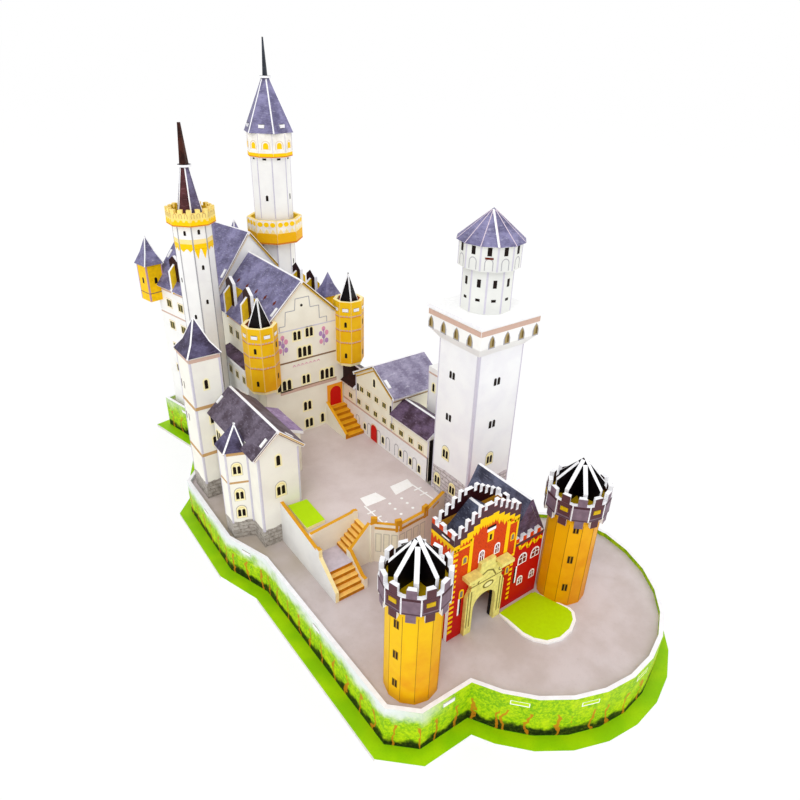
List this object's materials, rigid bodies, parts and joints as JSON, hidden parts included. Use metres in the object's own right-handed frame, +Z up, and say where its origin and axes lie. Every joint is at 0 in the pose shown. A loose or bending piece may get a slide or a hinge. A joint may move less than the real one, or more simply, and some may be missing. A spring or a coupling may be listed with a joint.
{
  "type": "cardboard castle",
  "caption": "Model castle folded and slotted from printed foam-cored card: hall, towers, court and gatehouse on a skirted base.",
  "frame": {"origin": "on the table, under the middle of the base board's bounding box", "axes": "+Y from the gatehouse to the main hall, along the longest extent; +X to the square tower's side; +Z up"},
  "size_m": [0.1924, 0.3976, 0.269],
  "materials": {
    "skirt_print": "printed foliage on matt coated card",
    "base_green": "printed green, satin coated card",
    "deck_grey": "printed grey, satin coated card",
    "court_stone": "printed cream stone, satin coated card",
    "stair_ochre": "printed ochre steps",
    "portal_cream": "printed cream-yellow stone",
    "gate_slate": "printed dark slate",
    "gate_brick": "printed red and orange brick with yellow trim",
    "fin_black": "printed black card with white foam edges",
    "crown_purple": "printed dusky purple with white foam edges",
    "turret_yellow": "printed yellow to orange",
    "roof_slate": "printed blue-violet slate with white foam edges",
    "wall_white": "printed white stone, satin coated card"
  },
  "bodies": {
    "root": {"annex": "wall_white", "bartizans": "turret_yellow", "base_board": "base_green", "bower_bay": "wall_white", "bower_roof": "roof_slate", "bower_walls": "wall_white", "bower_wing": "wall_white", "court_rampart": "court_stone", "court_stair": "stair_ochre", "court_wall_back": "court_stone", "court_wall_left": "court_stone", "gate_front_wall": "gate_brick", "gate_portal": "portal_cream", "gate_roof": "gate_slate", "gate_shell": "gate_brick", "gate_tower_left_cap": "fin_black", "gate_tower_left_crown": "crown_purple", "gate_tower_left_shaft": "turret_yellow", "gate_tower_right_cap": "fin_black", "gate_tower_right_crown": "crown_purple", "gate_tower_right_shaft": "turret_yellow", "gate_wing_roof": "gate_slate", "gate_wing_walls": "gate_brick", "hall_front_roof": "roof_slate", "hall_front_walls": "wall_white", "hall_pinnacles": "turret_yellow", "hall_rear_roof": "roof_slate", "hall_rear_walls": "wall_white", "hall_stair": "stair_ochre", "hall_turret_caps": "fin_black", "hall_turret_left": "turret_yellow", "hall_turret_right": "turret_yellow", "lawns": "base_green", "left_block_roof": "roof_slate", "left_block_walls": "wall_white", "lookout_lower_drum": "wall_white", "lookout_roof": "roof_slate", "lookout_upper_drum": "wall_white", "lower_deck": "deck_grey", "range_low_roofs": "roof_slate", "range_roof": "roof_slate", "range_turret": "wall_white", "range_walls": "wall_white", "skirt_back": "skirt_print", "skirt_front": "skirt_print", "skirt_left": "skirt_print", "skirt_right": "skirt_print", "slim_tower_gallery": "turret_yellow", "slim_tower_shaft": "wall_white", "slim_tower_spire": "roof_slate", "square_tower_corbel": "wall_white", "square_tower_plate": "wall_white", "square_tower_walls": "wall_white", "stair_walls": "court_stone", "tall_tower_collar": "wall_white", "tall_tower_gallery": "turret_yellow", "tall_tower_shaft": "wall_white", "tall_tower_spire": "roof_slate", "upper_deck": "deck_grey"}
  },
  "joints": []
}
